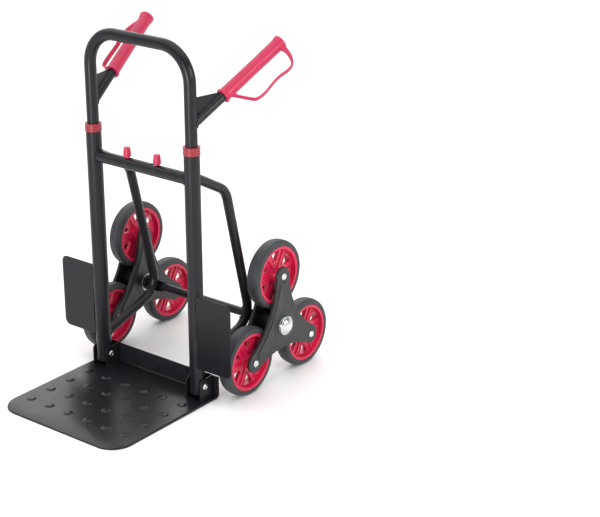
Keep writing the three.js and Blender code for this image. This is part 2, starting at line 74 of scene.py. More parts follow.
def half_size(node):
    return (high_corner(node) - low_corner(node)) / 2


def box_corners(node):
    return low_corner(node), high_corner(node)


UPRIGHT = middle("upright_right")
UPRIGHT_RADIUS = half_size("upright_right").x
FRAME_Y = UPRIGHT.y
LEG_RADIUS = half_size("handle_bow").y
CROSSBAR = middle("crossbar")
CROSSBAR_RADIUS = half_size("crossbar").z
CROSSBAR_MIDDLE = Vector((0, FRAME_Y, CROSSBAR.z))
AXLE = middle("axle")
STAR = Vector((middle("rim_top_right").x, AXLE.y, AXLE.z))
REACH = middle("rim_top_right").z - AXLE.z
SPIDER_FACE = high_corner("spider_outer_right").x - STAR.x
WHEEL_RADIUS = half_size("tyre_top_right").z


# ---- Camera, light and floor ----
def link_object(name, data):
    made = bpy.data.objects.new(name, data)
    bpy.context.scene.collection.objects.link(made)
    return made


def mesh_object(name, bm):
    mesh = bpy.data.meshes.new(name)
    bm.to_mesh(mesh)
    bm.free()
    return link_object(name, mesh)


def add_camera():
    place, azimuth, elevation = (2.2635, -2.4184, 1.5976), radians(37.54), radians(21.6)
    focal_length, film_width = 94.87, 36
    data = bpy.data.cameras.new("camera")
    data.lens = focal_length
    data.sensor_width = film_width
    camera = link_object("camera", data)
    camera.location = place
    camera.rotation_euler = (pi / 2 - elevation, 0, azimuth)
    bpy.context.scene.camera = camera


def add_light(name, kind, location, target, energy, **more):
    data = bpy.data.lights.new(name, kind)
    data.energy = energy
    for key, value in more.items():
        setattr(data, key, value)
    light = link_object(name, data)
    light.location = location
    light.rotation_euler = (Vector(target) - Vector(location)).to_track_quat("-Z", "Y").to_euler()


def new_node(nodes, kind, **values):
    """A shader node with its inputs set. An underscore in a name stands for a space."""
    node = nodes.new(kind)
    for name, value in values.items():
        node.inputs[name.replace("_", " ")].default_value = value
    return node


def add_world():
    """White walls at the horizon under a dimmer ceiling."""
    world = bpy.data.worlds.new("studio")
    bpy.context.scene.world = world
    world.use_nodes = True
    nodes, links = world.node_tree.nodes, world.node_tree.links
    split = nodes.new("ShaderNodeSeparateXYZ")
    links.new(nodes.new("ShaderNodeTexCoord").outputs["Generated"], split.inputs["Vector"])
    fade = new_node(nodes, "ShaderNodeMapRange", From_Min=0.1, From_Max=0.5, To_Min=1.0, To_Max=0.35)
    fade.interpolation_type = "SMOOTHSTEP"
    links.new(split.outputs["Z"], fade.inputs["Value"])
    background = nodes["Background"]
    background.inputs["Color"].default_value = (1, 1, 1, 1)
    links.new(fade.outputs["Result"], background.inputs["Strength"])


def add_studio():
    bpy.context.scene.view_settings.view_transform = "Standard"
    add_world()
    add_light("overhead_light", "SUN", (-0.8, 0.5, 3), (0, 0, 0), 2.7, angle=radians(100))
    tall = {"shape": "RECTANGLE", "size": 0.5, "size_y": 1.1}
    wide = {"shape": "RECTANGLE", "size": 1.6, "size_y": 1.0}
    add_light("front_softbox", "AREA", (0.6, -2.9, 0.6), (0, 0, 0.5), 45, **tall)
    add_light("back_softbox", "AREA", (-2.3, 2.1, 1.7), (0, -0.15, 0), 8, **wide)
    add_light("side_softbox", "AREA", (2.6, 0.3, 1.5), (0.2, 0.1, 0.2), 30, **wide)


def add_floor():
    reach = 60  # metres
    bm = bmesh.new()
    bm.faces.new([bm.verts.new((x, y, 0)) for x, y in rectangle(-reach, -reach, reach, reach)])
    floor = mesh_object("studio_floor", bm)
    finish = Finish("floor_paper", (0.88, 0.88, 0.88), 0.6)
    finish.vary_colour((0.91, 0.91, 0.91), scale=2.0)
    floor.data.materials.append(finish.material)


# ---- Materials ----
class Finish:
    """A procedural material: a Principled shader whose colour, roughness and bump come from noise."""

    def __init__(self, name, colour, roughness, metallic=0.0, specular=0.5):
        self.material = bpy.data.materials.new(name)
        self.material.use_nodes = True
        self.nodes = self.material.node_tree.nodes
        self.links = self.material.node_tree.links
        self.shader = self.nodes["Principled BSDF"]
        self.base = (*colour, 1)
        looks = {"Roughness": roughness, "Metallic": metallic, "Specular IOR Level": specular}
        for name, value in looks.items():
            self.shader.inputs[name].default_value = value
        self.shader.inputs["Base Color"].default_value = self.base
        self.place = self.nodes.new("ShaderNodeTexCoord").outputs["Object"]

    def noise(self, scale, detail):
        texture = new_node(self.nodes, "ShaderNodeTexNoise", Scale=scale, Detail=detail)
        self.links.new(self.place, texture.inputs["Vector"])
        return texture.outputs["Fac"]

    def spread(self, source, low, high, from_low=0.3, from_high=0.7):
        """Maps a noise's middle range on to low..high."""
        ends = {"From_Min": from_low, "From_Max": from_high, "To_Min": low, "To_Max": high}
        node = new_node(self.nodes, "ShaderNodeMapRange", **ends)
        self.links.new(source, node.inputs["Value"])
        return node.outputs["Result"]

    def mix_in(self, colour, amount):
        """Blends a colour over whatever the base colour is so far, by a 0..1 amount."""
        mix = self.nodes.new("ShaderNodeMix")
        mix.data_type = "RGBA"
        mix.inputs["A"].default_value = self.base
        mix.inputs["B"].default_value = (*colour, 1)
        socket = self.shader.inputs["Base Color"]
        if socket.is_linked:
            self.links.new(socket.links[0].from_socket, mix.inputs["A"])
        self.links.new(amount, mix.inputs["Factor"])
        self.links.new(mix.outputs["Result"], socket)

    def vary_colour(self, colour, scale, detail=3.0):
        self.mix_in(colour, self.spread(self.noise(scale, detail), 0, 1))

    def vary_roughness(self, low, high, scale):
        amount = self.spread(self.noise(scale, 3.0), low, high)
        self.links.new(amount, self.shader.inputs["Roughness"])

    def add_bump(self, scale, strength, depth):
        bump = new_node(self.nodes, "ShaderNodeBump", Strength=strength, Distance=depth)
        self.links.new(self.noise(scale, 2.0), bump.inputs["Height"])
        socket = self.shader.inputs["Normal"]
        if socket.is_linked:
            self.links.new(socket.links[0].from_socket, bump.inputs["Normal"])
        self.links.new(bump.outputs["Normal"], socket)

    def paint_edge_highlight_and_wear(self, colour, share):
        """Paints the convex edges towards a colour, in patches: a painted edge highlight together with edge
        wear.
        """
        geometry = self.nodes.new("ShaderNodeNewGeometry")
        edges = self.spread(geometry.outputs["Pointiness"], 0, share, 0.53, 0.62)
        patches = self.spread(self.noise(60.0, 4.0), 0.15, 1, 0.4, 0.62)
        product = self.nodes.new("ShaderNodeMath")
        product.operation = "MULTIPLY"
        self.links.new(edges, product.inputs[0])
        self.links.new(patches, product.inputs[1])
        self.mix_in(colour, product.outputs["Value"])


def powder_coat():
    finish = Finish("satin_black_powder_coat", (0.0075, 0.0075, 0.0098), 0.3, specular=0.28)
    finish.vary_colour((0.0088, 0.0088, 0.0114), scale=22)
    # Convex edges painted lighter grey in patches: edge wear together with a painted edge highlight.
    finish.paint_edge_highlight_and_wear((0.03, 0.03, 0.036), 0.3)
    finish.vary_roughness(0.28, 0.32, scale=45)
    finish.add_bump(scale=900, strength=0.04, depth=0.0001)
    return finish.material


MOULDED_RED = ((0.62, 0.009, 0.064), (0.55, 0.007, 0.054))


def red_plastic(name="moulded_red_plastic", colours=MOULDED_RED, gloss=0.34):
    colour, darker = colours
    finish = Finish(name, colour, gloss)
    finish.vary_colour(darker, scale=18)
    # Convex edges painted pale pink in patches: a painted edge highlight, together with edge wear.
    finish.paint_edge_highlight_and_wear((0.80, 0.16, 0.24), 0.45)
    finish.vary_roughness(gloss - 0.06, gloss + 0.06, scale=70)
    finish.add_bump(scale=900, strength=0.12, depth=0.0002)
    return finish.material


def black_plastic():
    finish = Finish("moulded_black_plastic", (0.0115, 0.012, 0.0132), 0.38)
    finish.vary_colour((0.0155, 0.016, 0.0172), scale=16)
    # Convex edges painted light grey in patches: a painted edge highlight, together with edge wear.
    finish.paint_edge_highlight_and_wear((0.11, 0.11, 0.118), 0.5)
    finish.vary_roughness(0.36, 0.48, scale=55)
    finish.add_bump(scale=1100, strength=0.3, depth=0.0002)
    return finish.material


def rubber():
    finish = Finish("grey_black_rubber", (0.021, 0.0225, 0.026), 0.48)
    finish.vary_colour((0.029, 0.0305, 0.034), scale=9, detail=5)
    finish.vary_roughness(0.44, 0.60, scale=40)
    finish.add_bump(scale=700, strength=0.25, depth=0.0002)
    finish.add_bump(scale=90, strength=0.08, depth=0.0008)
    return finish.material


def zinc_plate():
    finish = Finish("zinc_plated_steel", (0.72, 0.73, 0.75), 0.28, metallic=1)
    finish.vary_colour((0.62, 0.63, 0.64), scale=120, detail=4)
    finish.vary_roughness(0.2, 0.4, scale=260)
    finish.add_bump(scale=1500, strength=0.15, depth=0.0001)
    return finish.material


def chrome_plate():
    finish = Finish("bright_chrome_plate", (0.70, 0.70, 0.72), 0.1, metallic=1)
    finish.vary_colour((0.65, 0.65, 0.67), scale=40)
    finish.vary_roughness(0.08, 0.13, scale=60)
    finish.add_bump(scale=60, strength=0.02, depth=0.0002)
    return finish.material


def seal_rubber():
    finish = Finish("bearing_seal_rubber", (0.012, 0.012, 0.013), 0.45)
    finish.vary_colour((0.02, 0.02, 0.021), scale=80)
    finish.add_bump(scale=900, strength=0.15, depth=0.0002)
    return finish.material


# ---- Mesh tools ----
def facing_out(bm):
    bmesh.ops.recalc_face_normals(bm, faces=bm.faces)
    return bm


def loft(rings, wrap=False):
    """A surface through closed rings of points. A ring of one point closes to a pole."""
    bm = bmesh.new()
    made = [[bm.verts.new(point) for point in ring] for ring in rings]
    following = made[1:] + made[:1] if wrap else made[1:]
    for first, second in zip(made, following):
        count = max(len(first), len(second))
        for i in range(count):
            j = (i + 1) % count
            corners = [first[i % len(first)], first[j % len(first)]]
            corners += [second[j % len(second)], second[i % len(second)]]
            bm.faces.new(list(dict.fromkeys(corners)))
    return facing_out(bm)


def merged(*shells):
    """One bmesh that holds all the shells."""
    together = bmesh.new()
    for shell in shells:
        mesh = bpy.data.meshes.new("shell")
        shell.to_mesh(mesh)
        shell.free()
        together.from_mesh(mesh)
        bpy.data.meshes.remove(mesh)
    return together


def moved(bm, matrix):
    bm.transform(matrix)
    if matrix.determinant() < 0:
        bmesh.ops.reverse_faces(bm, faces=bm.faces)
    return bm


def shifted(bm, *offset):
    return moved(bm, Matrix.Translation(offset))


def basis(x, y, z, origin=(0, 0, 0)):
    """The matrix that puts a body's own x, y and z along three directions, at an origin."""
    matrix = Matrix((x, y, z)).transposed().to_4x4()
    matrix.translation = origin
    return matrix


# A body drawn round Z, turned so that its Z lies along X.
ALONG_X = basis(Y_AXIS, Z_AXIS, X_AXIS)


def polar(radius, angle):
    return Vector((radius * cos(angle), radius * sin(angle)))


def full_turn(count):
    """Evenly spaced angles round a circle."""
    return [2 * pi * i / count for i in range(count)]


def rectangle(x0, y0, x1, y1):
    return [(x0, y0), (x1, y0), (x1, y1), (x0, y1)]


def rounded(corners, steps=4, closed=True):
    """The outline through (x, y, radius) corners, each turned on an arc of its radius."""
    points = []
    for i, (x, y, radius) in enumerate(corners):
        here = Vector((x, y))
        if not radius or (not closed and i in (0, len(corners) - 1)):
            points.append(here)
            continue
        before = (Vector(corners[i - 1][:2]) - here).normalized()
        after = (Vector(corners[(i + 1) % len(corners)][:2]) - here).normalized()
        half = before.angle(after) / 2
        centre = here + (before + after).normalized() * radius / sin(half)
        reach = radius / tan(half)
        first = here + before * reach - centre
        last = here + after * reach - centre
        start = atan2(first.y, first.x)
        sweep = (atan2(last.y, last.x) - start + pi) % (2 * pi) - pi
        points += [centre + polar(radius, start + sweep * step / steps) for step in range(steps + 1)]
    return points


def turned(corners, sides=64, steps=3):
    """A body of revolution round Z from (radius, height, rounding) corners of its closed section."""
    profile = rounded(corners, steps)
    on_axis = [i for i, point in enumerate(profile) if point.x < 1e-6]
    if on_axis:
        start = next(i for i in on_axis if (i - 1) % len(profile) in on_axis)
        profile = profile[start:] + profile[:start]
    rings = []
    for point in profile:
        count = 1 if point.x < 1e-6 else sides
        rings.append([(*polar(point.x, angle), point.y) for angle in full_turn(count)])
    return loft(rings, wrap=not on_axis)


def reflected(section):
    """The other half of a section that is the same on both sides of its middle plane."""
    return [(radius, -height, rounding) for radius, height, rounding in section[::-1]]


def slab(outline, thickness, edge):
    """A flat plate from an outline in XY, centred on Z = 0, with rounded edges."""
    bm = bmesh.new()
    low = [bm.verts.new((x, y, -thickness / 2)) for x, y in outline]
    high = [bm.verts.new((x, y, thickness / 2)) for x, y in outline]
    rims = bm.faces.new(low[::-1]).edges[:] + bm.faces.new(high).edges[:]
    for i in range(len(low)):
        j = (i + 1) % len(low)
        bm.faces.new([low[i], low[j], high[j], high[i]])
    facing_out(bm)
    if edge:
        bmesh.ops.bevel(bm, geom=rims, offset=edge, segments=3, profile=0.5, affect="EDGES")
    return bm


def drop_object(made):
    mesh = made.data
    bpy.data.objects.remove(made)
    bpy.data.meshes.remove(mesh)


def with_modifiers(body):
    """The body's shape with its modifiers applied. The object itself is dropped."""
    bpy.context.view_layer.update()
    result = bmesh.new()
    result.from_object(body, bpy.context.evaluated_depsgraph_get())
    drop_object(body)
    return result


def combined(bm, tool, operation):
    """The boolean of two closed bodies."""
    body, other = mesh_object("body", bm), mesh_object("tool", tool)
    modifier = body.modifiers.new("boolean", "BOOLEAN")
    modifier.object = other
    modifier.operation = operation
    modifier.solver = "EXACT"
    result = with_modifiers(body)
    drop_object(other)
    return result


def bent_path(corners, bend, step_degrees=6):
    """Points along straight runs joined by round bends."""
    points = [corners[0]]
    for before, here, after in zip(corners, corners[1:], corners[2:]):
        arriving, leaving = (here - before).normalized(), (after - here).normalized()
        turn = arriving.angle(leaving)
        start = here - arriving * bend * tan(turn / 2)
        inward = (leaving - arriving * arriving.dot(leaving)).normalized()
        steps = max(1, ceil(degrees(turn) / step_degrees))
        for step in range(steps + 1):
            angle = turn * step / steps
            along, across = bend * sin(angle), bend * (1 - cos(angle))
            points.append(start + arriving * along + inward * across)
    return points + [corners[-1]]


def frames_along(points, closed=False):
    """For each point of a path, its direction and two directions across it that don't twist."""
    count = len(points)
    tangents = []
    for i in range(count):
        before = points[(i - 1) % count] if closed or i else points[i]
        after = points[(i + 1) % count] if closed or i < count - 1 else points[i]
        tangents.append((after - before).normalized())
    across = tangents[0].orthogonal().normalized()
    frames = []
    for point, tangent in zip(points, tangents):
        across = (across - tangent * across.dot(tangent)).normalized()
        frames.append((point, tangent, across, tangent.cross(across)))
    return frames


def rings_along(frames, radius, sides):
    rings = []
    for point, _, u, v in frames:
        rings.append([point + u * radius * cos(a) + v * radius * sin(a) for a in full_turn(sides)])
    return rings


def slide_to_post(point, direction, post, radius):
    """Moves a point along a direction on to the nearer side of an upright post of that radius."""
    offset = point.xy - post.xy
    a = direction.xy.length_squared
    b = offset.dot(direction.xy)
    c = offset.length_squared - radius**2
    root = sqrt(max(b * b - a * c, 0))
    distance = min((-b - root) / a, (-b + root) / a, key=abs)
    return point + direction * distance


def tube(points, radius, wall, sides=40, start_post=None, end_post=None):
    """A hollow tube along a path. Each end is square, or cut to fit a post given as (axis point, radius)."""
    frames = frames_along(points)
    outer, inner = rings_along(frames, radius, sides), rings_along(frames, radius - wall, sides)
    for index, post in ((0, start_post), (-1, end_post)):
        if post:
            tangent = frames[index][1]
            outer[index] = [slide_to_post(p, tangent, *post) for p in outer[index]]
            inner[index] = [slide_to_post(p, tangent, *post) for p in inner[index]]
    return loft(outer + inner[::-1], wrap=True)


def weld_bead(points, radius=2.0, closed=True):
    """A rippled bead along a path: a row of overlapping drops."""
    pitch, step = 3.0, 0.75
    loop = points + points[:1] if closed else points
    lengths = [0.0]
    for a, b in zip(loop, loop[1:]):
        lengths.append(lengths[-1] + (b - a).length)
    count = max(8, round(lengths[-1] / step))
    drops = max(1, round(lengths[-1] / pitch))
    samples = []
    segment = 0
    for i in range(count if closed else count + 1):
        distance = lengths[-1] * i / count
        while segment < len(lengths) - 2 and lengths[segment + 1] < distance:
            segment += 1
        share = (distance - lengths[segment]) / max(lengths[segment + 1] - lengths[segment], 1e-9)
        samples.append(loop[segment].lerp(loop[segment + 1], share))
    rings = []
    for i, (point, _, u, v) in enumerate(frames_along(samples, closed)):
        phase = (i / count * drops) % 1
        size = radius * (0.82 + 0.22 * sin(pi * phase))
        rings.append([point + (u * cos(a) + v * sin(a)) * size for a in full_turn(8)])
    if closed:
        return loft(rings, wrap=True)
    return loft([[samples[0]], *rings, [samples[-1]]])


def collar_bead(start, direction, radius, post, post_radius, size=2.0):
    """The weld bead round a tube where it meets an upright post."""
    u = direction.orthogonal().normalized()
    v = direction.cross(u)
    lift = size * 0.25
    ring = [start + (u * cos(a) + v * sin(a)) * (radius + lift) for a in full_turn(48)]
    return weld_bead([slide_to_post(p, direction, post, post_radius + lift) for p in ring], size)


def strap(path, thickness, extent, sideways):
    """A bent sheet. path is a list of 2D points along its outer face, extent gives its lowest and highest
    reach at each point, and sideways is which side of the path the thickness lies on, 1 left or -1 right."""
    edge = 0.6
    rings = []
    for i, point in enumerate(path):
        before = path[max(i - 1, 0)]
        after = path[min(i + 1, len(path) - 1)]
        along = (after - before).normalized()
        normal = Vector((-along.y, along.x)) * sideways
        low, high = extent(point)
        section = [(0, low + edge), (edge, low), (thickness - edge, low), (thickness, low + edge)]
        section += [(thickness, high - edge), (thickness - edge, high), (edge, high), (0, high - edge)]
        rings.append([Vector((*(point + normal * depth), height)) for depth, height in section])
    bm = loft(rings)
    bm.verts.ensure_lookup_table()
    count = len(rings[0])
    bm.faces.new(bm.verts[:count])
    bm.faces.new(bm.verts[-count:])
    return facing_out(bm)


# ---- From shapes to pieces ----
MATERIALS = {
    "black_steel": powder_coat(),
    "red_plastic": red_plastic(),
    "black_plastic": black_plastic(),
    "rubber": rubber(),
    "zinc_steel": zinc_plate(),
    "chrome": chrome_plate(),
}
GRIP_RED = red_plastic("soft_red_grip_plastic", ((0.49, 0.012, 0.066), (0.45, 0.010, 0.058)), gloss=0.44)
COLLAR_RED = red_plastic("dark_red_collar_plastic", ((0.30, 0.016, 0.028), (0.26, 0.012, 0.023)))
MIRROR = Matrix.Diagonal((-1, 1, 1, 1))


def add_piece(name, bm, slot, body, replaced=(), sharp=35, material=None):
    """Makes a shape drawn in the part's own place into a piece that rides on a body."""
    bm.transform(Matrix.Scale(MM, 4))
    made = mesh_object(name, bm)
    mesh = made.data
    mesh.shade_smooth()
    mesh.set_sharp_from_angle(angle=radians(sharp))
    mesh.materials.append(material or MATERIALS[slot])
    even = made.modifiers.new("even_normals", "WEIGHTED_NORMAL")
    even.keep_sharp = True
    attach(made, body)
    if replaced:
        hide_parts(*replaced)
    return made


def add_pair(name, build, slot, body, replaced=(), **more):
    """The same piece on both sides. {side} in a name stands for the side, and the left one is mirrored."""
    for side in SIDES:
        bm = build()
        if side == "left":
            moved(bm, MIRROR)
        nodes = [node.format(side=side) for node in replaced]
        add_piece(name.format(side=side), bm, slot, body.format(side=side), nodes, **more)


def add_stand_ins(node, ending, build, slot, body, **more):
    """A pair that replaces the CAD's pair of this name. Each piece has its node's name with an ending."""
    add_pair(f"{node}_{{side}}_{ending}", build, slot, body, [f"{node}_{{side}}"], **more)


# ---- Frame ----
TUBE_WALL = 1.5
STRUT_RADIUS = 11.0
STRUT_CORNERS = ((6, 521.5), (108, 464.5), (186.6, 134), (6, 80))  # y from the upright, z
STRUT_BEND = 50


def in_frame(x, z):
    return Vector((x, FRAME_Y, z))


POST = in_frame(UPRIGHT.x, 0)
KNOB_TRAVEL = 12.0
TOUCH = 0.15  # welded pieces stop this short of each other


def strut_path():
    corners = [Vector((UPRIGHT.x, FRAME_Y + y, z)) for y, z in STRUT_CORNERS]
    return bent_path(corners, STRUT_BEND, 5)


def strut():
    post = (POST, UPRIGHT_RADIUS + TOUCH)
    return tube(strut_path(), STRUT_RADIUS, TUBE_WALL, 40, post, post)


def upright():
    wall, lip = 2.0, 0.7
    bottom, top = low_corner("upright_right").z, high_corner("upright_right").z
    outer, inner = UPRIGHT_RADIUS, UPRIGHT_RADIUS - wall
    section = [(outer, bottom, lip), (outer, top, lip), (inner, top, lip), (inner, bottom, lip)]
    return shifted(turned(section), UPRIGHT.x, FRAME_Y, 0)


def crossbar():
    ends = [in_frame(x, CROSSBAR.z) for x in (-UPRIGHT.x + 5, UPRIGHT.x - 5)]
    posts = [(in_frame(x, 0), UPRIGHT_RADIUS + TOUCH) for x in (-UPRIGHT.x, UPRIGHT.x)]
    bar = tube(ends, CROSSBAR_RADIUS, TUBE_WALL, 48, *posts)
    half_slot = 4.6
    knob_x = middle("lock_knob_right").x
    corners = rectangle(knob_x - KNOB_TRAVEL - half_slot, -half_slot, knob_x + half_slot, half_slot)
    outline = rounded([(*corner, half_slot - 0.1) for corner in corners], steps=6)
    slots = []
    for side in (-1, 1):
        cutter = slab([(side * x, y) for x, y in outline][:: side], 16, edge=0)
        slots.append(shifted(cutter, 0, FRAME_Y, CROSSBAR.z + CROSSBAR_RADIUS))
    return combined(bar, merged(*slots), "DIFFERENCE")


def on_axle(bm):
    return shifted(moved(bm, ALONG_X), 0, AXLE.y, AXLE.z)


def axle():
    radius, ring, ring_half = 10.0, 18.0, 3.0
    ring_x, end = 175.0, half_size("axle").x
    half = [
        (radius, ring_x - ring_half, 0.8), (ring, ring_x - ring_half, 1.6), (ring, ring_x + ring_half, 1.6),
        (radius, ring_x + ring_half, 0.8), (radius, end, 1.5), (0, end, 0),
    ]
    return on_axle(turned(reflected(half) + half, 56))


SADDLE_HALF = 21.0  # half the saddle's width


def axle_saddle():
    sheet, leg = 3.0, 17.0
    radius = 10.2 + sheet
    turn = Matrix.Rotation(radians(155.5), 4, "Z")
    arc = [polar(radius, radians(90 + 7.5 * step)) for step in range(25)]
    outline = [Vector((leg, radius)), *arc, Vector((leg, -radius))]
    bent = strap(outline, sheet, lambda point: (-SADDLE_HALF, SADDLE_HALF), 1)
    bent = shifted(moved(bent, ALONG_X @ turn), UPRIGHT.x, AXLE.y, AXLE.z)
    frames = frames_along(strut_path())
    rings = rings_along(frames, STRUT_RADIUS + TOUCH, 32)
    passage = loft([[frames[0][0]], *rings, [frames[-1][0]]])
    return combined(bent, passage, "DIFFERENCE")


def wing():
    low, high = box_corners("wing_right")
    roundings = (1.5, 15.0, 15.0, 1.5)
    corners = zip(rectangle(low.x, low.z, high.x, high.z), roundings)
    outline = rounded([(*corner, rounding) for corner, rounding in corners], steps=10)
    sheet = slab(outline, high.y - low.y, edge=0.7)
    stand = basis(X_AXIS, Z_AXIS, -Y_AXIS, (0, (low.y + high.y) / 2, 0))
    return moved(sheet, stand)


def frame_welds():
    beads = []
    path = strut_path()
    for end, inner in ((path[0], path[1]), (path[-1], path[-2])):
        away = (inner - end).normalized()
        beads.append(collar_bead(end + away * 12, -away, STRUT_RADIUS, POST, UPRIGHT_RADIUS))
    bar_end = in_frame(UPRIGHT.x - 20, CROSSBAR.z)
    beads.append(collar_bead(bar_end, X_AXIS, CROSSBAR_RADIUS, POST, UPRIGHT_RADIUS, 2.2))
    low, high = box_corners("wing_right")
    seam_count, seam = 3, 26.0
    for y in (low.y - 0.3, high.y + 0.3):
        for i in range(seam_count):
            start = low.z + 8 + i * (high.z - low.z - 16 - seam) / (seam_count - 1)
            x = POST.x + sqrt(UPRIGHT_RADIUS**2 - min(abs(y - FRAME_Y), UPRIGHT_RADIUS - 0.1) ** 2)
            beads.append(weld_bead([Vector((x, y, start)), Vector((x, y, start + seam))], 1.6, closed=False))
    for x in (-SADDLE_HALF, SADDLE_HALF):
        centre = Vector((UPRIGHT.x + x, AXLE.y, AXLE.z))
        ring = [centre + Vector((0, *polar(10.6, radians(angle)))) for angle in range(80, 236, 12)]
        beads.append(weld_bead(ring, 1.8, closed=False))
    return merged(*beads)


def collar():
    low, high = low_corner("collar_right").z, high_corner("collar_right").z
    skirt, shoulder = 574.0, high_corner("upright_right").z + 0.2
    radius, waist = half_size("collar_right").x, half_size("collar_right").x - 0.7
    bore, cup = LEG_RADIUS + 0.35, UPRIGHT_RADIUS + 0.2
    neck = UPRIGHT_RADIUS - 2.2
    band, centre = 3.4, (skirt + high) / 2
    section = [
        (bore, low, 0.3), (neck, low, 0.3), (neck, shoulder, 0), (cup, shoulder, 0), (cup, skirt, 0.3),
        (radius, skirt, 0.8), (radius, skirt + band, 0.5), (waist, skirt + band + 0.6, 0.3),
        (waist, centre - 1.5, 0.3), (radius - 0.2, centre - 1.0, 0.4), (radius - 0.2, centre + 1.0, 0.4),
        (waist, centre + 1.5, 0.3), (waist, high - band - 0.6, 0.3), (radius, high - band, 0.5),
        (radius, high, 1.2), (bore, high, 0.6),
    ]
    return shifted(turned(section), UPRIGHT.x, FRAME_Y, 0)


RIVET_RISE = 3.5  # height of a rivet's head


def riveted_pin(pin, head, start, end):
    """A pin along X with a dished dome at each end."""
    def dome(x, outward):
        return [
            (0, x + outward * RIVET_RISE * 0.55, 0), (head * 0.22, x + outward * RIVET_RISE * 0.6, 0.5),
            (head * 0.4, x + outward * RIVET_RISE, 0.9), (head * 0.72, x + outward * RIVET_RISE * 0.86, 1.6),
            (head, x + outward * RIVET_RISE * 0.3, 1.2), (head, x, 0.3),
        ]
    section = dome(start, -1) + [(pin, start, 0), (pin, end, 0)] + dome(end, 1)[::-1]
    return moved(turned(section, 40), ALONG_X)


def hinge_rivet():
    low, high = box_corners("hinge_rivet_right")
    body = riveted_pin(4.0, 7.5, low.x + RIVET_RISE, high.x - RIVET_RISE)
    return shifted(body, 0, (low.y + high.y) / 2, (low.z + high.z) / 2)


def washer():
    low, high = box_corners("washer_right")
    outer = half_size("washer_right").z
    section = [(10.5, low.x, 0.25), (outer, low.x, 0.5), (outer, high.x, 0.7), (10.5, high.x, 0.25)]
    return on_axle(turned(section, 56))


def push_cap():
    low, high = low_corner("push_cap_right").x, high_corner("push_cap_right").x
    outer = half_size("push_cap_right").z
    inside = 10.4
    edge, foot = outer - 1.5, low + 2.2
    dome = (edge**2 + (high - foot) ** 2) / (2 * (high - foot))
    section = [
        (0, high - 2.5, 0), (inside, high - 2.5, 0.5), (inside, low, 0.3), (outer, low, 0.5),
        (outer, foot, 0.9),
    ]
    for step in range(12, -1, -1):
        radius = edge * step / 12
        section.append((radius, high - dome + sqrt(dome**2 - radius**2), 0))
    return on_axle(turned(section, 64, steps=6))


def add_frame():
    add_stand_ins("upright", "tube", upright, "black_steel", "frame")
    add_stand_ins("strut", "tube", strut, "black_steel", "frame")
    add_piece("crossbar_tube", crossbar(), "black_steel", "frame", ["crossbar"])
    add_piece("axle_bar", axle(), "black_steel", "frame", ["axle"])
    add_stand_ins("axle_saddle", "strap", axle_saddle, "black_steel", "frame")
    add_stand_ins("wing", "plate", wing, "black_steel", "frame")
    add_pair("frame_welds_{side}", frame_welds, "black_steel", "frame", sharp=60)
    add_stand_ins("collar", "sleeve", collar, "red_plastic", "frame", material=COLLAR_RED)
    add_stand_ins("hinge_rivet", "pin", hinge_rivet, "zinc_steel", "frame")
    add_stand_ins("washer", "ring", washer, "zinc_steel", "frame")
    add_stand_ins("push_cap", "dome", push_cap, "chrome", "frame")


# ---- Handle ----
GRIP_RISE, GRIP_SPLAY, GUARD_TILT = radians(30), radians(12), radians(28)
GRIP_ROOT = in_frame(UPRIGHT.x, 636)
OUTWARD = Vector((sin(GRIP_SPLAY), cos(GRIP_SPLAY), 0))  # the level heading of the right grip
GRIP_AXIS = OUTWARD * cos(GRIP_RISE) + Z_AXIS * sin(GRIP_RISE)
GUARD = Matrix.Rotation(GUARD_TILT, 3, GRIP_AXIS) @ GRIP_AXIS.cross(Z_AXIS).normalized()
GRIP_PLACE = basis(GUARD, GRIP_AXIS.cross(GUARD), GRIP_AXIS, GRIP_ROOT)
STUB_RADIUS = 11.0


def handle_bow():
    bottom, crown = low_corner("handle_bow").z, high_corner("handle_bow").z - LEG_RADIUS
    left, right = -UPRIGHT.x, UPRIGHT.x
    corners = [in_frame(x, z) for x, z in ((left, bottom), (left, crown), (right, crown), (right, bottom))]
    bow = tube(bent_path(corners, 75, 4), LEG_RADIUS, TUBE_WALL, 48)
    hole, lift = 4.6, 280.0
    drills = []
    for side in (-1, 1):
        for share in (0, 0.5, 1):
            drill = moved(turned([(0, -5, 0), (hole, -5, 0), (hole, 5, 0), (0, 5, 0)], 24), ALONG_X)
            drills.append(shifted(drill, side * (UPRIGHT.x - LEG_RADIUS), FRAME_Y, CROSSBAR.z - lift * share))
    return combined(bow, merged(*drills), "DIFFERENCE")


def grip_stub():
    ends = [GRIP_ROOT + GRIP_AXIS * 10, GRIP_ROOT + GRIP_AXIS * 262]
    return tube(ends, STUB_RADIUS, TUBE_WALL, 40, (POST, LEG_RADIUS + TOUCH))


def gusset_outline():
    low, high = box_corners("grip_gusset_right")
    top = high.z - GRIP_ROOT.z
    leg_side = LEG_RADIUS + TOUCH
    stub_top = (STUB_RADIUS + TOUCH) / cos(GRIP_RISE)
    tip = (top - 2 - stub_top) / tan(GRIP_RISE)
    return [
        (leg_side, leg_side * tan(GRIP_RISE) + stub_top, 0.5), (tip, top - 2, 0.5),
        (tip - 1, top, 0.5), (leg_side, top, 0.5),
    ]


def gusset_place():
    return basis(OUTWARD, Z_AXIS, OUTWARD.cross(Z_AXIS), GRIP_ROOT)


def gusset():
    return moved(slab(rounded(gusset_outline(), 3), 2.5, edge=0.4), gusset_place())


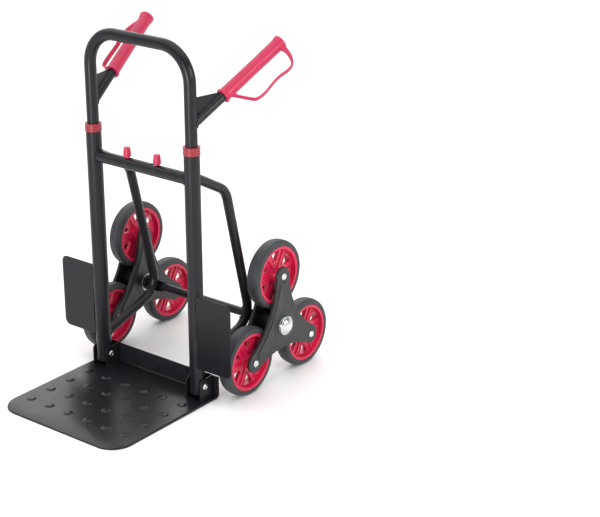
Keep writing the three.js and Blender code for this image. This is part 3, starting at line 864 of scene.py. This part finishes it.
def handle_welds():
    beads = [collar_bead(GRIP_ROOT + GRIP_AXIS * 22, -GRIP_AXIS, STUB_RADIUS, POST, LEG_RADIUS)]
    corners = [Vector((x, y, 0)) for x, y, _ in gusset_outline()]
    gap = Vector((0, 4, 0))
    along_leg = (corners[0] + gap, corners[3] - gap)
    along_stub = (corners[0].lerp(corners[1], 0.1), corners[0].lerp(corners[1], 0.9))
    for lift in (Vector((0, 0, -1.3)), Vector((0, 0, 1.3))):
        for line in (along_leg, along_stub):
            beads.append(moved(weld_bead([end + lift for end in line], 1.5, closed=False), gusset_place()))
    return merged(*beads)


# [distance from the leg, distance from the sleeve's axis] along the middle of the finger guard
GUARD_LINE = (
    (110, 8), (117.5, 21.5), (131, 47.5), (138.5, 59), (152, 62.7), (169.5, 62.6), (187, 60.4), (203, 58.8),
    (218, 59.1), (236, 61.9), (249.5, 60.8), (258.7, 55), (268.4, 40), (273.9, 22), (277, 11),
)


def guard_bar():
    """The flat bar round the fingers, which widens into the sleeve at both ends."""
    half_width, half_thickness = 5.45, 1.7
    stations = smooth_line([Vector((away, 0, along)) for along, away in GUARD_LINE], 6)
    rings = []
    for i, (point, tangent, _, _) in enumerate(frames_along(stations)):
        share = i / (len(stations) - 1)
        thick = half_thickness + 3.8 * max(0, (share - 0.7) / 0.3)
        web = 30 * max(0, 1 - share / 0.09) ** 2 + 7 * max(0, (share - 0.9) / 0.1) ** 2
        inward = tangent.cross(Y_AXIS).normalized()
        corner = 1.3
        sides = rectangle(-thick, -half_width, thick + web, half_width)
        section = rounded([(*side, corner) for side in sides], 3)
        rings.append([point + inward * p.x + Y_AXIS * p.y for p in section])
    return loft([[stations[0]], *rings, [stations[-1]]])


def grip():
    start, end, radius = 98.0, 284.0, 15.0
    flange = radius + 2.2
    sleeve = turned(
        [
            (0, start, 0), (flange, start, 0.8), (flange, start + 4, 1.2), (radius, start + 6.5, 1.5),
            (radius - 0.5, (start + end) / 2, 60), (radius, end - 18, 6), (flange - 0.4, end - 5.5, 2),
            (flange, end - 1, 1.2), (flange - 4, end, 2), (0, end, 0),
        ],
        56,
    )
    body = blended(combined(sleeve, guard_bar(), "UNION"), voxel=0.75, rounds=3)
    bore = turned([(0, start - 5, 0), (11.4, start - 5, 0), (11.4, 263, 0), (0, 263, 0)], 40)
    return moved(combined(body, bore, "DIFFERENCE"), GRIP_PLACE)


def smooth_line(points, steps):
    """A centripetal curve through the points."""
    line = []
    padded = [points[0] * 2 - points[1]] + points + [points[-1] * 2 - points[-2]]
    for p0, p1, p2, p3 in zip(padded, padded[1:], padded[2:], padded[3:]):
        t1 = (p1 - p0).length ** 0.5
        t2 = t1 + (p2 - p1).length ** 0.5
        t3 = t2 + (p3 - p2).length ** 0.5
        for step in range(steps):
            t = t1 + (t2 - t1) * step / steps
            a1 = p0.lerp(p1, t / t1)
            a2 = p1.lerp(p2, (t - t1) / (t2 - t1))
            a3 = p2.lerp(p3, (t - t2) / (t3 - t2))
            b1 = a1.lerp(a2, t / t2)
            b2 = a2.lerp(a3, (t - t1) / (t3 - t1))
            line.append(b1.lerp(b2, (t - t1) / (t2 - t1)))
    return line + [points[-1]]


def blended(bm, voxel, rounds):
    """The same body as one even mesh, with its inner corners filled and smoothed like a moulding."""
    body = mesh_object("body", bm)
    remesh = body.modifiers.new("even", "REMESH")
    remesh.mode = "VOXEL"
    remesh.voxel_size = voxel
    smooth = body.modifiers.new("smooth", "SMOOTH")
    smooth.iterations = rounds
    smooth.factor = 0.5
    return with_modifiers(body)


def add_handle():
    add_piece("handle_bow_tube", handle_bow(), "black_steel", "handle", ["handle_bow"])
    add_stand_ins("grip_stub", "tube", grip_stub, "black_steel", "handle")
    add_stand_ins("grip_gusset", "plate", gusset, "black_steel", "handle")
    add_pair("handle_welds_{side}", handle_welds, "black_steel", "handle", sharp=60)
    add_stand_ins("grip", "moulding", grip, "red_plastic", "handle", sharp=60, material=GRIP_RED)


# ---- Handle lock ----
def lock_knob():
    low, high = low_corner("lock_knob_right").z, high_corner("lock_knob_right").z
    skirt = half_size("lock_knob_right").x
    seat = CROSSBAR.z + CROSSBAR_RADIUS + 0.5
    section = [
        (0, low, 0), (4, low, 0.3), (4, seat, 0), (5.5, seat, 0.3), (5.5, seat + 2.5, 0),
        (skirt - 0.6, seat + 2.5, 0.4), (skirt, seat + 5, 0.8), (7.6, high - 3.0, 0.8), (7.9, high, 1.4),
        (0, high - 0.4, 0),
    ]
    centre = middle("lock_knob_right")
    return shifted(turned(section, 40), centre.x, centre.y, 0)


SPRING_END = high_corner("lock_spring").x


def spring_half():
    """The coil spring from its middle, at X = 0, to the right lock pin."""
    wire, turns, steps_per_turn = 0.9, 4, 24
    radius = half_size("lock_spring").z - wire
    steps = turns * steps_per_turn
    points = []
    for step in range(steps + 1):
        angle = 2 * pi * step / steps_per_turn
        along = (SPRING_END - wire) * step / steps
        points.append(CROSSBAR_MIDDLE + Vector((along, radius * cos(angle), radius * sin(angle))))
    rings = rings_along(frames_along(points), wire, 12)
    return loft([[points[0]], *rings, [points[-1]]])


def add_spring():
    """The coil spring in two halves, one from the middle to each lock pin, each with a mesh of its own."""
    to_middle = Matrix.Translation(CROSSBAR_MIDDLE)
    half_turn = to_middle @ Matrix.Rotation(pi, 4, "Y") @ to_middle.inverted()
    for side, turn, replaced in (("right", Matrix(), ["lock_spring"]), ("left", half_turn, [])):
        coil = moved(spring_half(), turn)
        half = add_piece(f"lock_spring_{side}_half", coil, "zinc_steel", "frame", replaced)
        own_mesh(half)


def add_lock():
    add_stand_ins("lock_knob", "cap", lock_knob, "red_plastic", "lock_{side}", material=GRIP_RED)
    add_spring()


# ---- Toe plate ----
TOE_LOW, TOE_HIGH = box_corners("toe_plate")
TOE_TOP, TOE_SHEET = 6.0, 3.0
TOE_BAND = 28.0  # depth of the front band that slopes to the floor
TOE_CORNER = 50.0
BEND = 3.0
FLANGE_FRONT = TOE_HIGH.y - TOE_SHEET
DIMPLE_RADIUS = 11.5
DIMPLE_ROWS, DIMPLE_COLUMNS, DIMPLE_PITCH = 4, 6, (57.5, 60.0)
DIMPLE_REAR = -55.0


def toe_height(y):
    """The height of the plate's top face at a place along its depth."""
    into_band = min(max(TOE_LOW.y + TOE_BAND - y, 0) / TOE_BAND, 1)
    return TOE_TOP - (TOE_TOP - TOE_SHEET) * into_band


def toe_outline(inset):
    """The plate's outline from its rear right corner round its front, drawn in from the edge."""
    right, front, rear = TOE_HIGH.x - inset, TOE_LOW.y + inset, FLANGE_FRONT - BEND
    corner = TOE_CORNER - inset
    corners = [(right, rear, 0), (right, front, corner), (-right, front, corner), (-right, rear, 0)]
    crease = TOE_LOW.y + TOE_BAND
    outline = rounded(corners, 14)
    points = outline[:1]
    for before, here in zip(outline, outline[1:]):
        if (before.y - crease) * (here.y - crease) < 0:
            points.append(before.lerp(here, (crease - before.y) / (here.y - before.y)))
        points.append(here)
    return points


def toe_skin(drop):
    """The plate's flat part with its dimples pressed up, as an open skin."""
    bm = bmesh.new()
    edge = [bm.verts.new((x, y, 0)) for x, y in toe_outline(BEND)]
    edges = [bm.edges.new((a, b)) for a, b in zip(edge, edge[1:] + edge[:1])]
    profile = ((1.0, 0.0), (0.95, 0.1), (0.86, 0.65), (0.74, 1.5), (0.6, 2.1), (0.42, 2.42), (0.2, 2.5))
    sides = 28
    for column in range(DIMPLE_COLUMNS):
        for row in range(DIMPLE_ROWS):
            x = (column - (DIMPLE_COLUMNS - 1) / 2) * DIMPLE_PITCH[0]
            y = FRAME_Y + DIMPLE_REAR - row * DIMPLE_PITCH[1]
            rings = []
            for share, height in profile:
                around = [polar(DIMPLE_RADIUS * share, angle) for angle in full_turn(sides)]
                rings.append([bm.verts.new((x + p.x, y + p.y, height)) for p in around])
            edges += [bm.edges.new((a, b)) for a, b in zip(rings[0], rings[0][1:] + rings[0][:1])]
            for lower, upper in zip(rings, rings[1:]):
                for i in range(sides):
                    j = (i + 1) % sides
                    bm.faces.new([lower[i], lower[j], upper[j], upper[i]])
            bm.faces.new(rings[-1])
    bmesh.ops.triangle_fill(bm, use_beauty=True, edges=edges)
    crease = Vector((0, TOE_LOW.y + TOE_BAND, 0))
    everything = bm.verts[:] + bm.edges[:] + bm.faces[:]
    bmesh.ops.bisect_plane(bm, geom=everything, plane_co=crease, plane_no=Y_AXIS)
    for vertex in bm.verts:
        vertex.co.z += toe_height(vertex.co.y) - drop
    return bm


def toe_rim():
    """The turned-down edge round the sides and front, from the top skin to the bottom skin."""
    lowest, lip = 0.1, 0.5
    rings = []
    for step in range(4):
        angle = pi / 2 * step / 3
        fall = (TOE_SHEET - 0.9) * (1 - cos(angle))
        rings.append([(x, y, toe_height(y) - fall) for x, y in toe_outline(BEND * (1 - sin(angle)))])
    for lift, inset in ((lip, 0), (0, lip), (0, BEND - lip)):
        rings.append([(x, y, lowest + lift) for x, y in toe_outline(inset)])
    rings.append([(x, y, max(toe_height(y) - TOE_SHEET, 0) + lowest) for x, y in toe_outline(BEND)])
    return loft(rings)


def toe_flange():
    """The rear edge, bent up into a wall across the plate."""
    centre_y, centre_z = FLANGE_FRONT - BEND, TOE_TOP + BEND
    edge, top = 0.7, TOE_HIGH.z
    arc = [radians(15 * step) for step in range(7)]
    section = [(centre_y + BEND * sin(a), centre_z - BEND * cos(a)) for a in arc]
    section += [(y, top) for y in (FLANGE_FRONT, FLANGE_FRONT + edge, TOE_HIGH.y - edge)]
    section += [(TOE_HIGH.y, top - edge)]
    outer = BEND + TOE_SHEET
    section += [(centre_y + outer * sin(a), centre_z - outer * cos(a)) for a in arc[::-1]]
    rings = [[(x, y, z) for y, z in section] for x in (TOE_LOW.x, TOE_HIGH.x)]
    bm = loft(rings)
    bm.verts.ensure_lookup_table()
    bm.faces.new(bm.verts[: len(section)])
    bm.faces.new(bm.verts[len(section) :])
    return facing_out(bm)


def toe_plate():
    under = toe_skin(TOE_SHEET - 0.1)
    bmesh.ops.reverse_faces(under, faces=under.faces)
    sheet = merged(toe_skin(0), under, toe_rim())
    bmesh.ops.remove_doubles(sheet, verts=sheet.verts, dist=0.02)
    return merged(facing_out(sheet), toe_flange())


def hinge_bracket():
    low, high = box_corners("hinge_bracket_right")
    sheet, corner, bend = 3.0, 14.0, 4.5
    corners = [(low.x, low.y, 0), (low.x, high.y, bend), (high.x, high.y, bend), (high.x, low.y, 0)]
    outline = rounded(corners, 6, closed=False)
    first, last = outline[0], outline[-1]
    nose = [low.y + corner * (1 - cos(radians(a))) for a in range(0, 91, 9)]
    path = [Vector((low.x, y)) for y in nose] + outline[1:-1] + [Vector((high.x, y)) for y in nose[::-1]]

    def extent(point):
        into_nose = min(max(low.y + corner - point.y, 0), corner)
        return low.z, high.z - corner + sqrt(corner**2 - into_nose**2)

    return strap(path, sheet, extent, -1)


def toe_welds():
    low, high = box_corners("hinge_bracket_right")
    beads = []
    for x in (low.x - 0.4, high.x + 0.4):
        line = [Vector((x, low.y + 2, low.z)), Vector((x, high.y - 5, low.z))]
        beads.append(weld_bead(line, 1.8, closed=False))
    return merged(*beads)


def add_toe_plate():
    add_piece("toe_plate_sheet", toe_plate(), "black_steel", "toe_plate", ["toe_plate"], sharp=40)
    add_stand_ins("hinge_bracket", "strap", hinge_bracket, "black_steel", "toe_plate")
    add_pair("toe_welds_{side}", toe_welds, "black_steel", "toe_plate", sharp=60)


# ---- Wheel stars ----
def arc(centre, radius, start, end, steps, clockwise=False):
    sweep = (end - start) % (2 * pi)
    if clockwise:
        sweep -= 2 * pi
    return [centre + polar(radius, start + sweep * step / steps) for step in range(steps + 1)]


def heading(origin, target):
    step = target - origin
    return atan2(step.y, step.x)


def star_outline(reach, boss, waist):
    """Three round bosses joined by hollow curves that come within waist of the hub."""
    step = boss - waist
    away = (reach**2 - step**2) / (reach + 2 * step)
    points = []
    for arm in range(3):
        angle = pi / 2 + arm * 2 * pi / 3
        tip, next_tip = polar(reach, angle), polar(reach, angle + 2 * pi / 3)
        before, after = polar(away, angle - pi / 3), polar(away, angle + pi / 3)
        points += arc(tip, boss, heading(tip, before), heading(tip, after), 16)
        points += arc(after, away - waist, heading(after, tip), heading(after, next_tip), 22, True)[1:-1]
    return points


def spider():
    """One moulded half of a star, drawn on the star's middle plane with its face towards +Z."""
    boss, waist = 22.0, 55.0
    face = SPIDER_FACE
    plate_face, plate_back = face - 2.3, face - 10.3
    pocket, hub, bore = 21.2, 30.0, 14.0

    def panel_ring(reach, tip, hollow, height):
        return [(*p, height) for p in star_outline(reach, tip, hollow)]

    def edge_ring(inset, height):
        return panel_ring(REACH, boss - inset, waist - inset, height)

    directions = [p.normalized() for p in star_outline(REACH, boss, waist)]

    def round_ring(radius, height):
        return [(*(d * radius), height) for d in directions]

    hub_face = [
        (pocket, face - 12.3), (pocket, face - 0.6), (pocket + 0.6, face), (31.5, face), (33.0, face - 0.25),
        (35.0, face - 1.0), (36.5, face - 1.1),
    ]
    panel = [
        (84, 7.5, 41.5, face - 0.7), (88, 10.5, 44, face - 0.2), (89, 11.3, 44.8, face),
        (89.8, 12.1, 45.5, face - 0.1), (90.6, 12.9, 46.2, face - 0.7), (91.6, 13.9, 47.2, plate_face - 0.3),
        (93.5, 15.2, 48.6, plate_face - 0.6), (96, 16.4, 50, plate_face - 0.3),
    ]
    edge = [
        (5.0, plate_face), (2.2, plate_face), (1.3, plate_face - 0.2), (0.5, plate_face - 0.8),
        (0, plate_face - 1.9), (0, plate_back + 1), (0.3, plate_back + 0.3), (1.0, plate_back),
        (3.0, plate_back), (3.6, plate_back + 0.6), (4.0, plate_back + 4.5),
    ]
    hub_back = [
        (hub + 1.5, plate_back + 4.5), (hub, plate_back + 3.5), (hub, 1.0), (hub - 0.8, 0.2), (bore, 0.2),
        (bore, face - 12.3),
    ]
    rings = [round_ring(*ring) for ring in hub_face] + [panel_ring(*ring) for ring in panel]
    rings += [edge_ring(*ring) for ring in edge] + [round_ring(*ring) for ring in hub_back]
    body = loft(rings, wrap=True)
    pads = []
    for arm in range(3):
        centre = polar(REACH, pi / 2 + arm * 2 * pi / 3)
        seat = WHEEL_HUB_HALF + 0.3
        section = [(0, plate_back + 5, 0), (12, plate_back + 5, 0), (12, seat, 0.8), (0, seat, 0)]
        pads.append(shifted(turned(section, 32), centre.x, centre.y, 0))
    return merged(body, *pads)


def bearing_races():
    """The two steel rings of a ball bearing, round Z, from its inner to its outer face."""
    low, high = SPIDER_FACE - 12, SPIDER_FACE + 0.3
    outer = turned([(16.2, low, 0.3), (21, low, 0.6), (21, high, 0.6), (16.2, high, 0.3)], 56)
    inner = turned([(10.3, low, 0.3), (13.2, low, 0.3), (13.2, high, 0.3), (10.3, high, 0.4)], 56)
    return merged(outer, inner)


def bearing_seal():
    low, high = SPIDER_FACE - 11, SPIDER_FACE - 0.5
    dish = (14.7, high - 0.4, 1)
    return turned([(13.2, low, 0.2), (16.2, low, 0.2), (16.2, high, 0.2), dish, (13.2, high, 0.2)], 56)


def wheel_bolt():
    seat = SPIDER_FACE - 2.3 + 0.25
    return riveted_pin(4.0, 8.0, -seat, seat)


WHEEL_HUB_HALF = half_size("rim_top_right").x
RIM_SEAT = half_size("rim_top_right").z
SPOKES = 6


def rim():
    """The red wheel centre, round Z: a lip, a web with six windows and ribs on its spokes, and a hub."""
    lip_half, web_half = 16.0, 3.5
    half = [
        (RIM_SEAT, lip_half, 0.8), (64.6, lip_half, 0.5), (64.0, lip_half - 0.8, 0.4),
        (62.2, lip_half - 0.8, 0.4), (60.4, lip_half - 0.3, 0.6), (58.2, web_half, 2.0),
        (17.0, web_half, 2.5), (12.6, WHEEL_HUB_HALF, 0.8), (4.4, WHEEL_HUB_HALF, 0.3),
    ]
    disc = turned(half + reflected(half), 96)

    def window(grow):
        inner, outer, narrow, wide = 30.5 - grow, 55.0 + grow * 0.5, 3.2 + grow, 14.6 + grow
        corners = [
            (inner, -narrow, 1.4 + grow * 0.5), (outer, -wide, 1.8 + grow * 0.5), (outer + 0.8, 0, 30),
            (outer, wide, 1.8 + grow * 0.5), (inner, narrow, 1.4 + grow * 0.5),
        ]
        return rounded(corners, 4)

    cutters, borders, ribs = [], [], []
    for spoke in range(SPOKES):
        angle = spoke * 2 * pi / SPOKES
        to_window = Matrix.Rotation(angle + pi / SPOKES, 4, "Z")
        cutters.append(moved(slab(window(0), 20, edge=0), to_window))
        borders.append(moved(slab(window(2.2), 2 * web_half + 2.6, edge=0.7), to_window))
        for face in (-1, 1):
            rib = slab(rectangle(14.5, -1.1, 59.2, 1.1), 4.4, edge=0.4)
            rib = shifted(rib, 0, 0, face * (web_half + 0.6))
            ribs.append(moved(rib, Matrix.Rotation(angle, 4, "Z")))
    framed = combined(disc, merged(*borders), "UNION")
    pierced = combined(framed, merged(*cutters), "DIFFERENCE")
    return combined(pierced, merged(*ribs), "UNION")


def tyre():
    """The smooth rubber tyre, round Z, with a moulded ridge at each shoulder."""
    bore, half_width = RIM_SEAT + 0.25, half_size("tyre_top_right").x
    half = [
        (bore, half_width - 1.2, 0.6), (bore + 1.2, half_width - 0.3, 0.6),
        (WHEEL_RADIUS - 8.0, half_width, 2.5), (WHEEL_RADIUS - 3.6, half_width - 1.6, 1.6),
        (WHEEL_RADIUS - 1.8, half_width - 4.0, 0.7), (WHEEL_RADIUS - 3.0, half_width - 5.0, 0.5),
        (WHEEL_RADIUS - 2.6, half_width - 6.4, 0.5), (WHEEL_RADIUS - 0.9, half_width - 7.2, 0.7),
        (WHEEL_RADIUS, half_width - 12, 12),
    ]
    return turned(half + reflected(half), 128)


def add_star(side):
    sign = -1 if side == "left" else 1
    place = basis(Y_AXIS, Z_AXIS, X_AXIS, (sign * STAR.x, STAR.y, STAR.z))
    flip = Matrix.Diagonal((1, 1, -1, 1))
    for layer in ("outer", "inner"):
        turn = place if (layer == "outer") == (side == "right") else place @ flip
        star = f"star_{side}"
        spider_node, bearing_node = f"spider_{layer}_{side}", f"bearing_{layer}_{side}"
        add_piece(f"{spider_node}_moulding", moved(spider(), turn), "black_plastic", star, [spider_node])
        add_piece(f"{bearing_node}_races", moved(bearing_races(), turn), "zinc_steel", star, [bearing_node])
        add_piece(f"{bearing_node}_seal", moved(bearing_seal(), turn), "black_plastic", star, material=SEAL)


def add_wheel(tip, side):
    centre = middle(f"rim_{tip}_{side}")
    place = basis(Y_AXIS, Z_AXIS, X_AXIS, centre)
    wheel = f"wheel_{tip}_{side}"
    for node, build, slot, sharp in (("rim", rim, "red_plastic", 30), ("tyre", tyre, "rubber", 50)):
        name = f"{node}_{tip}_{side}"
        add_piece(f"{name}_moulding", moved(build(), place), slot, wheel, [name], sharp=sharp)
    bolt = f"wheel_bolt_{tip}_{side}"
    add_piece(f"{bolt}_rivet", shifted(wheel_bolt(), *centre), "zinc_steel", f"star_{side}", [bolt])


SEAL = seal_rubber()


def dress_cad_nodes():
    """Gives the CAD nodes that stay, inside the crossbar, the same finishes as the new pieces."""
    for subpart in frame["record"]["subparts"]:
        materials = frame["nodes"][subpart["node"]].data.materials
        materials.clear()
        materials.append(MATERIALS[subpart["material_slot"]])


add_camera()
add_studio()
add_floor()
dress_cad_nodes()
add_frame()
add_handle()
add_lock()
add_toe_plate()
for side in SIDES:
    add_star(side)
    for tip in TIPS:
        add_wheel(tip, side)
